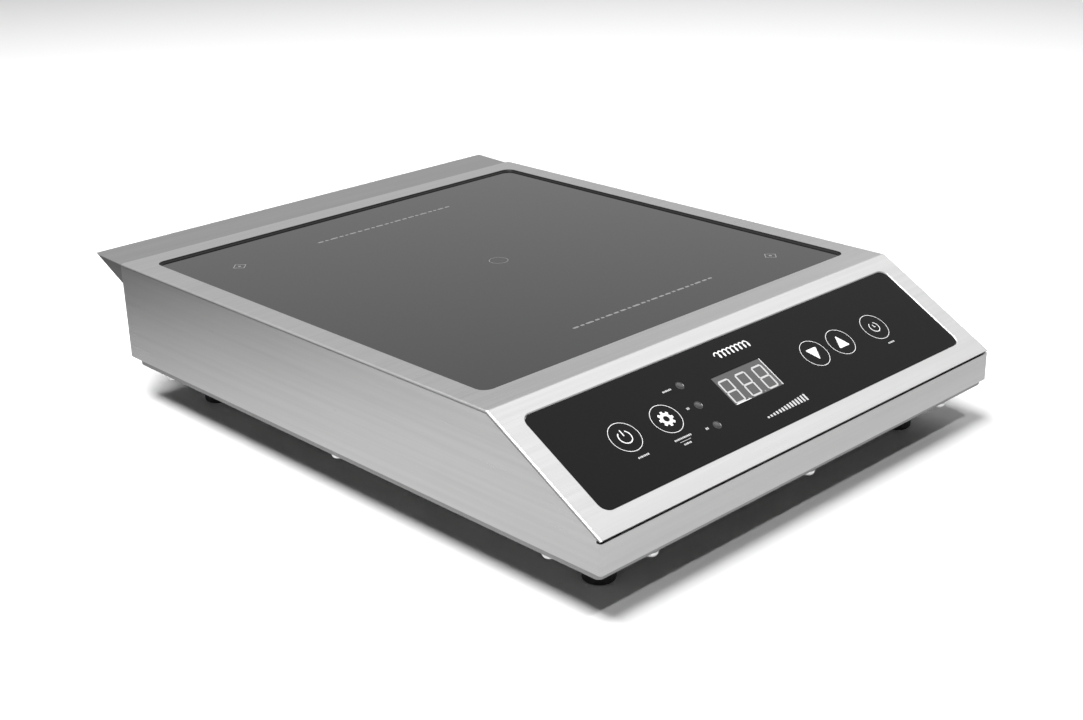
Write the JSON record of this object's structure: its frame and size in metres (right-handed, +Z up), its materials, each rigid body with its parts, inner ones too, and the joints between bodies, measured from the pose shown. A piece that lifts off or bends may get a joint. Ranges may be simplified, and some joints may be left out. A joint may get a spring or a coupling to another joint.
{
  "type": "portable induction cooktop",
  "caption": "Low steel countertop box on rubber feet with a flush black glass cooking plate, a sloping front panel of touch keys, a three-digit display and a rear spacer lip.",
  "frame": {"origin": "on the worktop under the middle of the whole object, rear lip included", "axes": "+X to the cook's right, +Y from the front edge towards the wall, +Z up"},
  "size_m": [0.306, 0.4104, 0.084],
  "materials": {
    "brushed_case": "satin brushed stainless sheet, grain along the long way of each face",
    "pan_steel": "plain stainless sheet",
    "black_glass": "polished black glass ceramic",
    "silicone_bead": "black silicone",
    "panel_film": "satin black printed film",
    "tinted_window": "smoked clear film",
    "key_film": "satin black printed film",
    "backing_aluminium": "mill finish",
    "switch_plastic": "moulded",
    "lamp_lens": "tinted lens",
    "board_laminate": "solder masked laminate",
    "zinc_steel": "bright zinc plate",
    "pan_screw_steel": "stainless",
    "foot_rubber": "moulded black rubber",
    "gland_nylon": "black nylon",
    "label_aluminium": "satin foil plate, blank",
    "mica_card": "pressed mica",
    "copper_winding": "enamelled copper",
    "former_resin": "glass filled resin",
    "ferrite": "sintered ferrite",
    "sensor_ceramic": "white ceramic",
    "fan_plastic": "moulded black plastic",
    "bearing_bronze": "sintered bronze",
    "chip_epoxy": "moulded epoxy",
    "capacitor_case": "moulded box",
    "can_sleeve": "shrink sleeve",
    "transformer_core": "varnished laminations",
    "terminal_plastic": "moulded",
    "fuse_metal": "nickel plated caps on glass",
    "ribbon_sleeve": "flat grey lead",
    "sink_aluminium": "extruded, unpainted"
  },
  "bodies": {
    "housing": {"top_cover": "brushed_case", "front_rail": "brushed_case", "rear_lip": "brushed_case", "glass_top": "black_glass", "glass_seal": "silicone_bead", "control_overlay": "panel_film", "tinted_windows": "tinted_window", "panel_backplate": "backing_aluminium", "key_switches": "switch_plastic", "control_board": "board_laminate", "panel_posts": "zinc_steel", "panel_screws": "zinc_steel", "display_module": "switch_plastic", "indicator_lamps": "lamp_lens", "base_pan": "pan_steel", "pan_screws": "pan_screw_steel", "spacer_nuts": "zinc_steel", "foot_front_left": "foot_rubber", "foot_front_right": "foot_rubber", "foot_rear_left": "foot_rubber", "foot_rear_right": "foot_rubber", "foot_screws": "zinc_steel", "foot_nuts": "zinc_steel", "cord_gland": "gland_nylon", "gland_nut": "gland_nylon", "rating_plate": "label_aluminium", "mica_sheet": "mica_card", "induction_coil": "copper_winding", "coil_former": "former_resin", "ferrite_bars": "ferrite", "coil_pillars": "zinc_steel", "coil_screws": "zinc_steel", "sensor_holder": "former_resin", "temperature_sensor": "sensor_ceramic", "sensor_spring": "zinc_steel", "fan_frame": "fan_plastic", "fan_bearings": "bearing_bronze", "fan_stator": "copper_winding", "fan_screws": "zinc_steel", "power_board": "board_laminate", "board_posts": "zinc_steel", "board_screws": "zinc_steel", "heat_sink": "sink_aluminium", "power_transistor": "chip_epoxy", "bridge_rectifier": "chip_epoxy", "resonant_capacitor": "capacitor_case", "filter_capacitor": "capacitor_case", "choke_coil": "copper_winding", "smoothing_capacitor": "can_sleeve", "supply_transformer": "transformer_core", "mains_terminals": "terminal_plastic", "mains_fuse": "fuse_metal", "control_ribbon": "ribbon_sleeve"},
    "power_button": {"power_key": "key_film"},
    "mode_button": {"mode_key": "key_film"},
    "down_button": {"down_key": "key_film"},
    "up_button": {"up_key": "key_film"},
    "timer_button": {"timer_key": "key_film"},
    "fan_wheel": {"fan_rotor": "fan_plastic", "fan_axle": "zinc_steel"}
  },
  "joints": [
    {"name": "power_press", "type": "slide", "parent": "housing", "child": "power_button", "axis": [0, 0.4943, -0.8693], "range_m": [0, 0.00035], "stiffness_N_per_m": 1500, "springref_m": -0.0006},
    {"name": "mode_press", "type": "slide", "parent": "housing", "child": "mode_button", "axis": [0, 0.4943, -0.8693], "range_m": [0, 0.00035], "stiffness_N_per_m": 1500, "springref_m": -0.0006},
    {"name": "down_press", "type": "slide", "parent": "housing", "child": "down_button", "axis": [0, 0.4943, -0.8693], "range_m": [0, 0.00035], "stiffness_N_per_m": 1500, "springref_m": -0.0006},
    {"name": "up_press", "type": "slide", "parent": "housing", "child": "up_button", "axis": [0, 0.4943, -0.8693], "range_m": [0, 0.00035], "stiffness_N_per_m": 1500, "springref_m": -0.0006},
    {"name": "timer_press", "type": "slide", "parent": "housing", "child": "timer_button", "axis": [0, 0.4943, -0.8693], "range_m": [0, 0.00035], "stiffness_N_per_m": 1500, "springref_m": -0.0006},
    {"name": "fan_spin", "type": "hinge", "parent": "housing", "child": "fan_wheel", "pos_m": [-0.092, 0.042, 0.035], "axis": [0, 0, 1], "continuous": true}
  ]
}
